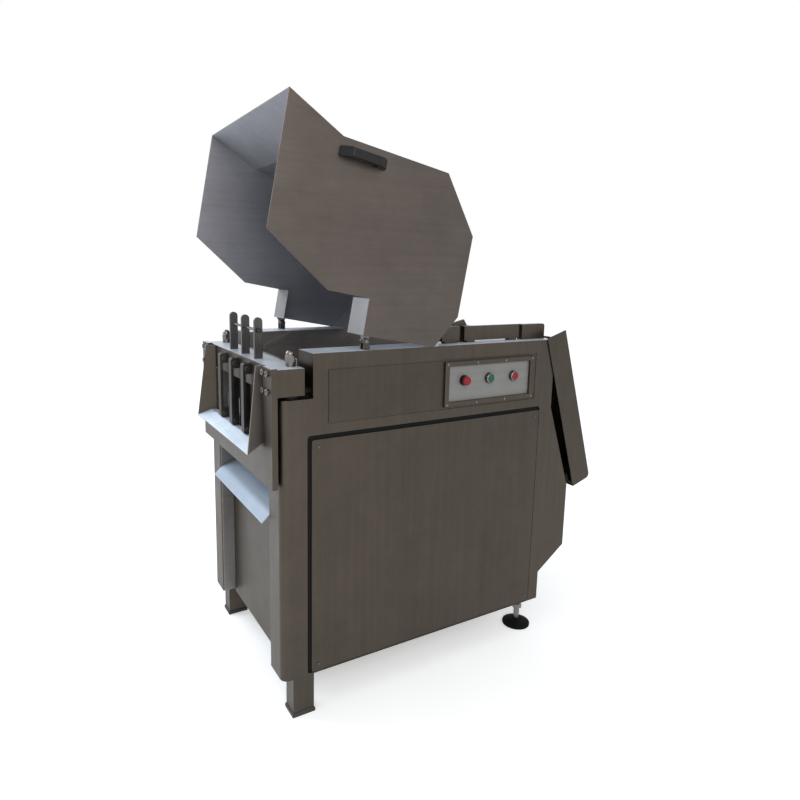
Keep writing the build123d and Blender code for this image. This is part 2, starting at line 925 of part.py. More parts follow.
def stop_lug():
    """A leaning lug that stands on the rim on the rail's inner side."""
    lug_x = front + stop_lug_front
    with BuildPart() as lug:
        with BuildSketch(xz(-rail_y + rail_thickness / 2 + lug_thickness)):
            with BuildLine():
                Polyline((lug_x, rim_height), (lug_x, rim_height + stop_lug_height - stop_lug_drop),
                         (lug_x + stop_lug_length, rim_height + stop_lug_height),
                         (lug_x + stop_lug_length + stop_lug_slant, rim_height), close=True)
            make_face()
        extrude(amount=lug_thickness)
    return lug.part


def end_block():
    """The near rail's end stop block, with a rounded upper rear corner."""
    with BuildPart() as block:
        with BuildSketch(xz(-rail_y + end_block_thickness / 2)):
            rectangle(front + rail_seam, front + rail_rear, rim_height, rim_height + end_block_height)
        extrude(amount=end_block_thickness)
        fillet(block.edges().filter_by(Axis.Y).group_by(Axis.Z)[-1].sort_by(Axis.X)[-1],
               end_block_radius)
    return block.part


with BuildPart() as guide_rails:
    for thing in both(guide_rail()):
        add(thing)
finish(guide_rails, "guide_rails")

with BuildPart() as rail_end_blocks:
    for thing in both(end_block()) + both(stop_lug()):
        add(thing)
finish(rail_end_blocks, "rail_end_blocks")

# Rear cover: a folded sheet between the walls that follows their rear outline

with BuildPart() as rear_cover:
    with BuildSketch(xz(throat_half - touch)):
        with BuildLine():
            cover_line = Polyline(*at_front([
                (rim_rear, floor_flat_height - floor_sheet - touch),
                (rim_rear, rear_knee_height), (bulge_rear, bulge_top),
                (bulge_rear, bulge_bottom), (base_length, undercut_height),
                (base_length, skirt_height)]))
            offset(cover_line, amount=sheet, side=Side.RIGHT, kind=Kind.INTERSECTION)
        make_face()
    extrude(amount=2 * (throat_half - touch))
finish(rear_cover, "rear_cover")

# Hydraulic cylinders standing on the sills inside the columns

rod_places = [(rod_x, side * rod_y) for side in sides]
sill_top = sill_bottom + tube
with BuildPart() as cylinders:
    with BuildSketch(Plane.XY.offset(sill_top)):
        with Locations(*rod_places):
            Circle(barrel_diameter / 2)
    extrude(amount=barrel_top - sill_top)
    with BuildSketch(Plane.XY.offset(barrel_bottom)):
        with Locations(*rod_places):
            Circle(barrel_bore / 2)
    extrude(amount=barrel_top - barrel_bottom, mode=Mode.SUBTRACT)
finish(cylinders, "cylinders")

gland_top = column_height + gland_flange_height
with BuildPart() as rod_glands:
    with BuildSketch(Plane.XY.offset(column_height)):
        with Locations(*rod_places):
            Circle(gland_diameter / 2)
    extrude(amount=gland_flange_height)
    chamfer(rod_glands.edges().filter_by(GeomType.CIRCLE).group_by(Axis.Z)[-1], gland_chamfer)
    with BuildSketch(Plane.XY.offset(barrel_top)):
        with Locations(*rod_places):
            Circle(gland_neck_diameter / 2)
    extrude(amount=column_height - barrel_top)
    with BuildSketch(Plane.XY.offset(barrel_top)):
        with Locations(*rod_places):
            Circle(rod_diameter / 2 + running_gap)
    extrude(amount=gland_top - barrel_top, mode=Mode.SUBTRACT)
finish(rod_glands, "rod_glands")

# Crosshead: beam with slots for the knife stems and bores for studs and bolts

knife_ys = [(index - (knife_count - 1) / 2) * knife_pitch for index in range(knife_count)]
stem_x = front + knife_front + knife_stem_depth / 2
bolt_places = [(side * (half_width - column), plate_top - drop)
               for side in sides for column in plate_bolt_columns for drop in plate_bolt_drops]
screw_places = [((index - (blade_screw_count - 1) / 2) * blade_screw_pitch, blade_screw_height)
                for index in range(blade_screw_count)]
with BuildPart() as crosshead_beam:
    with BuildSketch(Plane.XY.offset(beam_bottom)):
        with Locations(((plate_back + beam_rear) / 2, 0)):
            Rectangle(beam_depth, 2 * beam_half)
        with Locations(*[(stem_x, y) for y in knife_ys]):
            Rectangle(knife_stem_depth + 2 * slot_gap, knife_thickness + 2 * slot_gap,
                      mode=Mode.SUBTRACT)
        with Locations(*rod_places):
            Circle(stud_diameter / 2 + running_gap, mode=Mode.SUBTRACT)
    extrude(amount=beam_height)
    with BuildSketch(Plane.YZ.offset(plate_back)):
        with Locations(*bolt_places):
            Circle(bolt_shank_diameter / 2 + running_gap)
    extrude(amount=bolt_grip, mode=Mode.SUBTRACT)
    with BuildSketch(Plane.YZ.offset(beam_rear)):
        with Locations(*screw_places):
            Circle(blade_screw_diameter / 2 + running_gap)
    extrude(amount=-bolt_grip, mode=Mode.SUBTRACT)
finish(crosshead_beam, "crosshead_beam")

with BuildPart() as piston_rods:
    with BuildSketch(Plane.XY.offset(piston_bottom)):
        with Locations(*rod_places):
            Circle(barrel_bore / 2 - running_gap)
    extrude(amount=piston_height)
    with BuildSketch(Plane.XY.offset(piston_bottom + piston_height)):
        with Locations(*rod_places):
            Circle(rod_diameter / 2)
    extrude(amount=beam_bottom - piston_bottom - piston_height)
    with BuildSketch(Plane.XY.offset(beam_bottom)):
        with Locations(*rod_places):
            Circle(stud_diameter / 2)
    extrude(amount=beam_height + dome_collar_height + dome_nut_height)
finish(piston_rods, "piston_rods")

nut_bottom = beam_top + dome_collar_height
nut_top = nut_bottom + dome_nut_height
with BuildPart() as dome_nuts:
    with BuildSketch(Plane.XY.offset(beam_top)):
        with Locations(*rod_places):
            Circle(dome_collar_diameter / 2)
    extrude(amount=dome_collar_height)
    with BuildSketch(Plane.XY.offset(nut_bottom)):
        with Locations(*rod_places):
            RegularPolygon(dome_nut_across_flats / 2, 6, major_radius=False)
    extrude(amount=dome_nut_height)
    with BuildSketch(Plane.XY.offset(nut_top)):
        with Locations(*rod_places):
            Circle(dome_radius)
    extrude(amount=dome_neck)
    with Locations(*[(x, y, nut_top + dome_neck) for x, y in rod_places]):
        Sphere(dome_radius, arc_size1=0, align=(Align.CENTER, Align.CENTER, Align.MIN))
    with BuildSketch(Plane.XY.offset(beam_top)):
        with Locations(*rod_places):
            Circle(stud_diameter / 2 + running_gap)
    extrude(amount=nut_top - beam_top, mode=Mode.SUBTRACT)
finish(dome_nuts, "dome_nuts")

# Front plate: full width below, two uprights bolted to the beam's ends

upright_inner = beam_half - upright_width
with BuildPart() as front_plate:
    with BuildSketch(Plane.YZ.offset(plate_front)):
        with BuildLine():
            Polyline((-beam_half, front_plate_bottom), (beam_half, front_plate_bottom),
                     (beam_half, plate_top), (upright_inner, plate_top),
                     (upright_inner, shelf_root_height), (-upright_inner, shelf_root_height),
                     (-upright_inner, plate_top), (-beam_half, plate_top), close=True)
        make_face()
        with Locations(*bolt_places):
            Circle(bolt_shank_diameter / 2 + running_gap, mode=Mode.SUBTRACT)
    extrude(amount=front_plate_thickness)
    chamfer(front_plate.edges().filter_by(Axis.Y).group_by(Axis.Z)[0].sort_by(Axis.X)[-1],
            front_plate_chamfer)
finish(front_plate, "front_plate")

with BuildPart() as plate_bolts:
    with BuildSketch(Plane.YZ.offset(plate_front)):
        with Locations(*bolt_places):
            Circle(bolt_head_diameter / 2)
    extrude(amount=-bolt_head_height)
    with BuildSketch(Plane.YZ.offset(plate_front - bolt_head_height)):
        with Locations(*bolt_places):
            RegularPolygon(bolt_socket_radius, 6)
    extrude(amount=bolt_socket_depth, mode=Mode.SUBTRACT)
    with BuildSketch(Plane.YZ.offset(plate_front)):
        with Locations(*bolt_places):
            Circle(bolt_shank_diameter / 2)
    extrude(amount=front_plate_thickness + bolt_grip)
    # Round-topped lock screw behind each dome nut
    lock_places = [(beam_rear - lock_screw_inset, side * rod_y) for side in sides]
    with BuildSketch(Plane.XY.offset(beam_top)):
        with Locations(*lock_places):
            Circle(lock_screw_diameter / 2)
    extrude(amount=lock_screw_height)
    with Locations(*[(x, y, beam_top + lock_screw_height) for x, y in lock_places]):
        Sphere(lock_screw_diameter / 2, arc_size1=0, align=(Align.CENTER, Align.CENTER, Align.MIN))
finish(plate_bolts, "plate_bolts")

# Scoop: two splayed cheeks and a shelf that slopes to the front

cheek_run = (scoop_tip - beam_front, scoop_tip_half - cheek_root_half)
cheek_length = math.hypot(*cheek_run)
cheek_unit = (cheek_run[0] / cheek_length, cheek_run[1] / cheek_length)
cheek_root = scoop_sheet * cheek_unit[1] / -cheek_unit[0]
plate_step = cheek_root + (plate_back - plate_front + touch) / -cheek_unit[0]
cheek_top_run = (cheek_top_front - beam_front) / cheek_unit[0]


def cheek():
    """The far cheek, in its own splayed plane."""
    cheek_plane = Plane(origin=(plate_back, cheek_root_half, 0), x_dir=(*cheek_unit, 0),
                        z_dir=(cheek_unit[1], -cheek_unit[0], 0))
    with BuildPart() as plate:
        with BuildSketch(cheek_plane):
            with BuildLine():
                Polyline((cheek_root, beam_bottom), (cheek_root, beam_top), (cheek_top_run, beam_top),
                         (cheek_length, scoop_tip_height),
                         (plate_step, shelf_root_height - scoop_sheet),
                         (plate_step, shelf_root_height + touch),
                         (cheek_root, shelf_root_height + touch), close=True)
            make_face()
        extrude(amount=scoop_sheet)
    return plate.part


with BuildPart() as scoop_shelf:
    with BuildSketch(xz(scoop_tip_half)):
        with BuildLine():
            Polyline((plate_front - touch, shelf_root_height),
                     (front + scoop_tip, scoop_tip_height),
                     (front + scoop_tip, scoop_tip_height - scoop_sheet),
                     (plate_front - touch, shelf_root_height - scoop_sheet), close=True)
        make_face()
    extrude(amount=2 * scoop_tip_half)
    with BuildSketch(Plane.XY.offset(scoop_tip_height - scoop_sheet)):
        with BuildLine():
            Polyline((plate_back, cheek_root_half), (front + scoop_tip, scoop_tip_half),
                     (front + scoop_tip, -scoop_tip_half), (plate_back, -cheek_root_half),
                     close=True)
        make_face()
    extrude(amount=shelf_root_height - scoop_tip_height + scoop_sheet, mode=Mode.INTERSECT)

with BuildPart() as scoop:
    add(scoop_shelf.part)
    for thing in both(cheek()):
        add(thing)
finish(scoop, "scoop")

# Knife brackets: windowed straps from the beam's front down to the plate

bracket_front = plate_back - bracket_depth
bracket_top = shelf_root_height + bracket_height
bracket_mid = (shelf_root_height + bracket_top) / 2
bracket_bolt_x = bracket_front + bracket_depth / 2
bracket_bolt_heights = (shelf_root_height + bracket_arm / 2, bracket_top - bracket_arm / 2)
with BuildPart() as knife_brackets:
    for y in knife_ys:
        with BuildSketch(xz(y + bracket_width / 2)):
            rectangle(bracket_front, plate_back, shelf_root_height, bracket_top, bracket_radius)
            with Locations((plate_back - (bracket_depth - bracket_web) / 2, bracket_mid)):
                Rectangle(bracket_depth - bracket_web, bracket_height - 2 * bracket_arm,
                          mode=Mode.SUBTRACT)
            with Locations(*[(bracket_bolt_x, height) for height in bracket_bolt_heights]):
                Circle(bracket_shank_diameter / 2 + running_gap, mode=Mode.SUBTRACT)
        extrude(amount=bracket_width)
finish(knife_brackets, "knife_brackets")

with BuildPart() as bracket_bolts:
    for y in knife_ys:
        for height in bracket_bolt_heights:
            for edge in (y - bracket_width / 2 - bracket_bolt_head, y + bracket_width / 2):
                with BuildSketch(xz(edge + bracket_bolt_head)):
                    with Locations((bracket_bolt_x, height)):
                        Circle(bracket_bolt_diameter / 2)
                extrude(amount=bracket_bolt_head)
            with BuildSketch(xz(y + bracket_width / 2)):
                with Locations((bracket_bolt_x, height)):
                    Circle(bracket_shank_diameter / 2)
            extrude(amount=bracket_width)
finish(bracket_bolts, "bracket_bolts")

# Slitting knives: round-topped stems through the beam, wider blades below it

tie_rod_height = knife_top - tie_rod_drop
stem_rear = front + knife_front + knife_stem_depth


def slitting_knife(y):
    """A knife whose lower end is ground from both sides."""
    with BuildPart() as knife:
        with BuildSketch(xz(y + knife_thickness / 2)):
            rectangle(stem_rear - knife_stem_depth, stem_rear, knife_bottom,
                      knife_top - knife_stem_depth / 2)
            with Locations((stem_x, knife_top - knife_stem_depth / 2)):
                Circle(knife_stem_depth / 2)
            rectangle(front + knife_blade_front, stem_rear, knife_bottom, knife_blade_top)
            with Locations((stem_x, tie_rod_height)):
                Circle(tie_rod_diameter / 2 + running_gap, mode=Mode.SUBTRACT)
        extrude(amount=knife_thickness)
        for end in (0, -1):
            face = knife.faces().filter_by(Axis.Y).sort_by(Axis.Y)[end]
            chamfer(face.edges().filter_by(Axis.X).sort_by(Axis.Z)[0], knife_edge_height,
                    knife_thickness / 2 - knife_edge_flat, reference=face)
    return knife.part


with BuildPart() as slitting_knives:
    for y in knife_ys:
        add(slitting_knife(y))
finish(slitting_knives, "slitting_knives")

tie_rod_half = knife_ys[-1] + knife_thickness / 2 + tie_rod_end
with BuildPart() as knife_tie_rod:
    with BuildSketch(xz(tie_rod_half)):
        with Locations((stem_x, tie_rod_height)):
            Circle(tie_rod_diameter / 2)
    extrude(amount=2 * tie_rod_half)
    for side in sides:
        with BuildSketch(xz(side * (tie_rod_half - tie_rod_end / 2) + tie_rod_nut / 2)):
            with Locations((stem_x, tie_rod_height)):
                RegularPolygon(tie_rod_nut_radius, 6)
        extrude(amount=tie_rod_nut)
finish(knife_tie_rod, "knife_tie_rod")

# Main blade on the beam's rear face, its screws sunk flush

with BuildPart() as main_blade:
    with BuildSketch(xz(main_blade_half)):
        with BuildLine():
            Polyline((beam_rear, beam_top), (beam_rear + main_blade_thickness, beam_top),
                     (beam_rear + main_blade_thickness, main_blade_bottom),
                     (beam_rear + main_blade_thickness - main_blade_flat, main_blade_bottom),
                     (beam_rear, main_blade_bottom + main_blade_bevel), close=True)
        make_face()
    extrude(amount=2 * main_blade_half)
    with BuildSketch(Plane.YZ.offset(beam_rear)):
        with Locations(*screw_places):
            Circle(blade_screw_diameter / 2 + running_gap)
    extrude(amount=main_blade_thickness, mode=Mode.SUBTRACT)
    with BuildSketch(Plane.YZ.offset(beam_rear + main_blade_thickness)):
        with Locations(*screw_places):
            Circle(blade_screw_head / 2 + running_gap)
    extrude(amount=-blade_screw_sink, mode=Mode.SUBTRACT)
finish(main_blade, "main_blade")

with BuildPart() as blade_screws:
    with BuildSketch(Plane.YZ.offset(beam_rear - bolt_grip)):
        with Locations(*screw_places):
            Circle(blade_screw_diameter / 2)
    extrude(amount=bolt_grip + main_blade_thickness - blade_screw_sink)
    with BuildSketch(Plane.YZ.offset(beam_rear + main_blade_thickness - blade_screw_sink)):
        with Locations(*screw_places):
            Circle(blade_screw_head / 2)
    extrude(amount=blade_screw_sink - touch)
finish(blade_screws, "blade_screws")

# Hood, open: its own plane runs rearward and slightly down

tilt = math.radians(hood_tilt)
hinge_x = front + hinge_from_front
hinge_setback = hinge_height - rim_height - touch
hood_x = hinge_x - hinge_setback * math.cos(tilt) + hinge_drop * math.sin(tilt)
hood_z = hinge_height + hinge_setback * math.sin(tilt) + hinge_drop * math.cos(tilt)
hood_inner_half = half_width + hood_side_gap
hood_outer_half = hood_inner_half + hood_sheet


def hood_plane(y):
    """The hood's side plane at this y; extruding from it runs towards -Y."""
    return Plane(origin=(hood_x, y, hood_z), x_dir=(math.cos(tilt), 0, -math.sin(tilt)),
                 z_dir=(0, -1, 0))


hood_back_line = [
    (-hood_mouth_offset, hood_mouth_high),
    hood_brow,
    (hood_top_rear, hood_brow[1]),
    (hood_back, hood_back_top),
    (hood_back, hood_back_bottom),
]
ear_y = half_width - hood_ear_from_side - hood_ear_thickness / 2


def hood_side():
    """The near side plate with its bent front flange and its hinge ear."""
    with BuildPart() as plate:
        with BuildSketch(hood_plane(-hood_inner_half)):
            with BuildLine():
                Polyline((0, 0), (hood_bottom_length, 0), *reversed(hood_back_line),
                         (-hood_mouth_offset, hood_mouth_low),
                         (-hood_notch_depth, hood_notch_height), (0, hood_notch_height), close=True)
            make_face()
        extrude(amount=hood_sheet)
        with BuildSketch(hood_plane(flange_width - half_width)):
            with Locations((hood_sheet / 2, hood_notch_height / 2)):
                Rectangle(hood_sheet, hood_notch_height)
        extrude(amount=flange_width + hood_side_gap)
        with BuildSketch(hood_plane(-ear_y + hood_ear_thickness / 2)):
            with BuildLine():
                Polyline((hood_sheet, hood_ear_height), (hinge_setback + hood_ear_radius, 0),
                         (hinge_setback + hood_ear_radius, -hinge_drop),
                         (hinge_setback - hood_ear_radius, -hinge_drop), (hood_sheet, 0), close=True)
            make_face()
            with Locations((hinge_setback, -hinge_drop)):
                Circle(hood_ear_radius)
                Circle(hinge_pin_diameter / 2 + running_gap, mode=Mode.SUBTRACT)
        extrude(amount=hood_ear_thickness)
    return plate.part


with BuildPart() as hood_sides:
    for thing in both(hood_side()):
        add(thing)
finish(hood_sides, "hood_sides")

# The wrap's lower edge stops just above the rims
hem_slope = (hood_back - hood_bottom_length) / hood_back_bottom
hem_rise = ((rim_height + touch - hood_z + hood_bottom_length * math.sin(tilt))
            / (math.cos(tilt) - hem_slope * math.sin(tilt)))
hem_point = (hood_bottom_length + hem_slope * hem_rise, hem_rise)
with BuildPart() as hood_wrap:
    with BuildSketch(hood_plane(hood_inner_half)):
        with BuildLine():
            wrap_line = Polyline(*hood_back_line, hem_point)
            offset(wrap_line, amount=hood_sheet, side=Side.RIGHT, kind=Kind.ARC)
        make_face()
    extrude(amount=2 * hood_inner_half)
finish(hood_wrap, "hood_wrap")

# A handle on each side plate: a bow with sloping ends, parallel to the hood's top edge


def hood_handle():
    """The near handle, drawn from the hinge side and extruded along the hood's height."""
    along, up = handle_place
    up -= handle_width / 2
    grip_plane = Plane(origin=(hood_x + along * math.cos(tilt) + up * math.sin(tilt), -hood_outer_half,
                               hood_z - along * math.sin(tilt) + up * math.cos(tilt)),
                       x_dir=(math.cos(tilt), 0, -math.sin(tilt)),
                       z_dir=(math.sin(tilt), 0, math.cos(tilt)))
    outer = [(handle_length / 2, 0), (handle_length / 2, -handle_foot_height),
             (handle_grip_length / 2, -handle_standoff)]
    inner = [(handle_finger_top / 2, handle_bar - handle_standoff), (handle_finger_length / 2, 0)]
    with BuildPart() as grip:
        with BuildSketch(grip_plane):
            with BuildLine():
                Polyline(*[(-x, y) for x, y in outer], *reversed(outer), *reversed(inner),
                         *[(-x, y) for x, y in inner], close=True)
            make_face()
        extrude(amount=handle_width)
        fillet(grip.faces().sort_by(Axis.Y)[0].edges(), handle_rounding)
    return grip.part


with BuildPart() as hood_handles:
    for thing in both(hood_handle()):
        add(thing)
finish(hood_handles, "hood_handles")

# Hood hinges on the rims: two ears, and a pin that the hood's ear turns on

rim_ear_near = half_width - hinge_from_side
rim_ear_far = rim_ear_near - hinge_ear_gap


def rim_ears():
    """The near hinge's pair of ears, standing on the rim."""
    with BuildPart() as ears:
        for y in (-rim_ear_near + hinge_ear_thickness, -rim_ear_far):
            with BuildSketch(xz(y)):
                rectangle(hinge_x - hinge_ear_width / 2, hinge_x + hinge_ear_width / 2,
                          rim_height, hinge_height)
                with Locations((hinge_x, hinge_height)):
                    Circle(hinge_ear_width / 2)
                    Circle(hinge_pin_diameter / 2, mode=Mode.SUBTRACT)
            extrude(amount=hinge_ear_thickness)
    return ears.part


def hinge_pin():
    """The near hinge's pin, with a flat head on its inner side."""
    with BuildPart() as pin:
        with BuildSketch(xz(-rim_ear_far)):
            with Locations((hinge_x, hinge_height)):
                Circle(hinge_pin_diameter / 2)
        extrude(amount=rim_ear_near - rim_ear_far)
        with BuildSketch(xz(-rim_ear_far + hinge_ear_thickness)):
            with Locations((hinge_x, hinge_height)):
                Circle(hinge_pin_head_diameter / 2)
        extrude(amount=hinge_ear_thickness)
    return pin.part


with BuildPart() as hinge_ears:
    for thing in both(rim_ears()):
        add(thing)
finish(hinge_ears, "hinge_ears")

with BuildPart() as hinge_pins:
    for thing in both(hinge_pin()):
        add(thing)
finish(hinge_pins, "hinge_pins")

# Loading table, hanging at the rear on two lugs

table_half = half_width + table_side_gap
pivot_up = table_top_reach - table_pivot_from_top
pivot_x = front + table_anchor[0] - pivot_up * table_sine - table_pivot_depth * table_cosine
pivot_z = table_anchor[1] + pivot_up * table_cosine - table_pivot_depth * table_sine


def table_plane(y):
    """Local x runs rearward out of the table, local y up along it; extruding runs to -Y."""
    return Plane(origin=(front + table_anchor[0], y, table_anchor[1]),
                 x_dir=(table_cosine, 0, table_sine), z_dir=(0, -1, 0))


tube_half = table_lug_half - table_lug_thickness / 2 - table_lug_gap
with BuildPart() as loading_table:
    with BuildSketch(table_plane(table_half + table_sheet)):
        rectangle(-table_depth, 0, -table_bottom, table_top_reach)
    extrude(amount=2 * (table_half + table_sheet))
    fillet(loading_table.edges().filter_by(Axis.Y).sort_by(Axis.Z)[1], table_corner)
    with BuildSketch(table_plane(table_half)):
        with BuildLine():
            Polyline((-table_depth, table_sheet - table_bottom), (-table_depth, table_top_reach),
                     (-table_sheet, table_top_reach), (-table_sheet, table_corner - table_bottom),
                     (-table_corner, table_sheet - table_bottom), close=True)
        make_face()
        rectangle(-table_corner, 0, table_top_reach - table_open, table_top_reach)
    extrude(amount=2 * table_half, mode=Mode.SUBTRACT)
    # Turned-up lip along the lower end, deeper where the buffers meet it
    with BuildSketch(table_plane(table_half)):
        rectangle(-table_depth, table_sheet - table_depth, -table_bottom, table_lip - table_bottom)
    extrude(amount=2 * table_half)
    for side in sides:
        with BuildSketch(table_plane(side * buffer_half + table_tab_width / 2)):
            rectangle(-table_depth, table_sheet - table_depth,
                      -table_bottom, table_tab_height - table_bottom)
        extrude(amount=table_tab_width)
    # Hinge tube welded behind the outer sheet
    with BuildSketch(xz(tube_half)):
        with Locations((pivot_x, pivot_z)):
            Circle(table_pivot_depth - table_sheet + table_weld)
    extrude(amount=2 * tube_half)
    with BuildSketch(xz(tube_half)):
        with Locations((pivot_x, pivot_z)):
            Circle(table_pin_diameter / 2 + running_gap)
    extrude(amount=2 * tube_half, mode=Mode.SUBTRACT)
finish(loading_table, "loading_table")

lug_back = front + rim_rear
with BuildPart() as table_lugs:
    for side in sides:
        with BuildSketch(xz(side * table_lug_half + table_lug_thickness / 2)):
            with BuildLine():
                Polyline((lug_back, table_lug_foot), (lug_back, table_lug_shoulder),
                         (lug_back + table_lug_shelf, table_lug_shoulder),
                         (pivot_x - table_lug_eye, pivot_z), (pivot_x + table_lug_eye, pivot_z),
                         close=True)
            make_face()
            with Locations((pivot_x, pivot_z)):
                Circle(table_lug_eye)
                Circle(table_pin_diameter / 2 + running_gap, mode=Mode.SUBTRACT)
        extrude(amount=table_lug_thickness)
finish(table_lugs, "table_lugs")

with BuildPart() as table_pins:
    for side in sides:
        pin_head_side = side * (table_lug_half + table_lug_thickness / 2 + table_pin_head / 2)
        with BuildSketch(xz(side * table_lug_half + table_pin_length / 2)):
            with Locations((pivot_x, pivot_z)):
                Circle(table_pin_diameter / 2)
        extrude(amount=table_pin_length)
        with BuildSketch(xz(pin_head_side + table_pin_head / 2)):
            with Locations((pivot_x, pivot_z)):
                Circle(table_pin_head_diameter / 2)
        extrude(amount=table_pin_head)
finish(table_pins, "table_pins")

# Rubber buffers on the walls' slanted rear faces, where the table's tabs come to rest
slant = math.atan2(bulge_rear - rim_rear, rear_knee_height - bulge_top)
buffer_x = front + bulge_rear - buffer_rise * math.sin(slant)
buffer_z = bulge_top + buffer_rise * math.cos(slant)
buffer_depth = ((front + table_anchor[0] - buffer_x) * table_cosine
                + (table_anchor[1] - buffer_z) * table_sine - table_depth)
buffer_skew = slant - math.radians(table_tilt)
buffer_length = ((buffer_depth - touch - buffer_diameter / 2 * math.sin(buffer_skew))
                 / math.cos(buffer_skew))
with BuildPart() as table_buffers:
    for side in sides:
        with BuildSketch(Plane(origin=(buffer_x, side * buffer_half, buffer_z), x_dir=(0, 1, 0),
                               z_dir=(math.cos(slant), 0, math.sin(slant)))):
            Circle(buffer_diameter / 2)
        extrude(amount=buffer_length)
finish(table_buffers, "table_buffers")

# Power pack on the cross members: tank, motor, pump, valve block and pipes

tank_x = front + tank_front + tank_length / 2
tank_top = sill_top + tank_height
with BuildPart() as oil_tank:
    with BuildSketch(Plane.XY.offset(sill_top)):
        with Locations((tank_x, 0)):
            Rectangle(tank_length, tank_width)
    extrude(amount=tank_height)
    with BuildSketch(Plane.XY.offset(sill_top + tank_sheet)):
        with Locations((tank_x, 0)):
            Rectangle(tank_length - 2 * tank_sheet, tank_width - 2 * tank_sheet)
    extrude(amount=tank_height - tank_sheet, mode=Mode.SUBTRACT)
    with BuildSketch(Plane.XY.offset(tank_top)):
        with Locations((tank_x, 0)):
            Rectangle(tank_length + 2 * tank_lid_thickness, tank_width + 2 * tank_lid_thickness)
    extrude(amount=tank_lid_thickness)
finish(oil_tank, "oil_tank")

lid_top = tank_top + tank_lid_thickness
motor_axis = lid_top + motor_foot_height + motor_diameter / 2
motor_front = front + motor_rear - motor_length
motor_body = motor_diameter / 2 - motor_fin_height
with BuildPart() as electric_motor:
    with BuildSketch(Plane.YZ.offset(motor_front)):
        with Locations((0, motor_axis)):
            Circle(motor_body)
            with PolarLocations(motor_body - motor_fin_root, motor_fin_count):
                Rectangle(2 * (motor_fin_height + motor_fin_root), motor_fin_thickness)
    extrude(amount=motor_length - motor_fan_cover_length)
    with BuildSketch(Plane.YZ.offset(front + motor_rear - motor_fan_cover_length)):
        with Locations((0, motor_axis)):
            Circle(motor_diameter / 2)
    extrude(amount=motor_fan_cover_length)
    with BuildSketch(Plane.XY.offset(lid_top)):
        with Locations((motor_front + motor_length / 2, 0)):
            Rectangle(motor_foot_length, motor_foot_width)
    extrude(amount=motor_axis - lid_top - motor_body / 2)
finish(electric_motor, "electric_motor")

with BuildPart() as hydraulic_pump:
    with BuildSketch(Plane.YZ.offset(motor_front)):
        with Locations((0, motor_axis)):
            Circle(coupling_housing_diameter / 2)
    extrude(amount=-coupling_housing_length)
    with BuildSketch(Plane.YZ.offset(motor_front - coupling_housing_length)):
        with Locations((0, motor_axis)):
            Circle(pump_diameter / 2)
    extrude(amount=-pump_length)
    chamfer(hydraulic_pump.faces().sort_by(Axis.X)[0].edges(), pump_chamfer)
finish(hydraulic_pump, "hydraulic_pump")

with BuildPart() as valve_block:
    with BuildSketch(Plane.XY.offset(lid_top)):
        with Locations((front + valve_front + valve_length / 2, 0)):
            Rectangle(valve_length, valve_width)
    extrude(amount=valve_height)
    chamfer(valve_block.edges().filter_by(Axis.Z), pump_chamfer)
finish(valve_block, "valve_block")


def hydraulic_pipe(start, height, port_height):
    """A near pipe from the valve block into the wall, forward and up to the cylinder's port."""
    port_x = rod_x + barrel_diameter / 2
    rise_x = front + pipe_rise_place
    corners = [(start, -valve_width / 2, height), (start, -rod_y, height)]
    if port_height > height:
        corners += [(rise_x, -rod_y, height), (rise_x, -rod_y, port_height)]
    corners.append((port_x, -rod_y, port_height))
    with BuildPart() as pipe:
        with BuildLine():
            FilletPolyline(*corners, radius=pipe_bend_radius)
        with BuildSketch(xz(-valve_width / 2)):
            with Locations((start, height)):
                Circle(pipe_diameter / 2)
        sweep()
    return pipe.part


with BuildPart() as hydraulic_pipes:
    for thing in both(hydraulic_pipe(front + valve_front + pipe_spacing,
                                     lower_port_height, lower_port_height)):
        add(thing)
    for thing in both(hydraulic_pipe(front + valve_front + valve_length - pipe_spacing,
                                     lower_port_height + pipe_spacing, upper_port_height)):
        add(thing)
finish(hydraulic_pipes, "hydraulic_pipes")
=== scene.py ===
import bpy
import math
from mathutils import Matrix, Vector
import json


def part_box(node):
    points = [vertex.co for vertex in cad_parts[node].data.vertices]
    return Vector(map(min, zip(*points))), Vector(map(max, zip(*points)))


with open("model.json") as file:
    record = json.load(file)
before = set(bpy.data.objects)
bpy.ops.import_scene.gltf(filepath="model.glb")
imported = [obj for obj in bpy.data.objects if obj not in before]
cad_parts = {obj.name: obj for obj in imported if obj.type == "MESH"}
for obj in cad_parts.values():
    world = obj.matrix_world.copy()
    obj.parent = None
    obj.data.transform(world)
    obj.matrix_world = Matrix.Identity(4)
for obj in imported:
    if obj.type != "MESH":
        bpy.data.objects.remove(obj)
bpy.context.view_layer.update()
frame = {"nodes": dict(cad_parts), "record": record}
nodes = frame["nodes"]
scene = bpy.context.scene


# Camera, solved from the object's own edges

def add_camera():
    """The photograph's view: place, heading, tilt, roll and lens shift."""
    place = (-1.1023, -1.757, 1.241)
    heading = math.radians(59.75)
    tilt = math.radians(-9.49)
    roll = math.radians(1.01)
    forward = Vector((math.cos(heading) * math.cos(tilt),
                      math.sin(heading) * math.cos(tilt), math.sin(tilt)))
    level = Vector((math.sin(heading), -math.cos(heading), 0.0))
    upward = level.cross(forward)
    right = level * math.cos(roll) + upward * math.sin(roll)
    up = upward * math.cos(roll) - level * math.sin(roll)
    data = bpy.data.cameras.new("camera")
    data.sensor_width = 36.0
    data.lens = 27.79
    data.shift_x = 0.0301
    data.shift_y = -0.0366
    data.clip_end = 60.0
    camera = bpy.data.objects.new("camera", data)
    turn = Matrix((right, up, -forward)).transposed().to_4x4()
    camera.matrix_world = Matrix.Translation(place) @ turn
    scene.collection.objects.link(camera)
    scene.camera = camera


add_camera()


# Node helpers

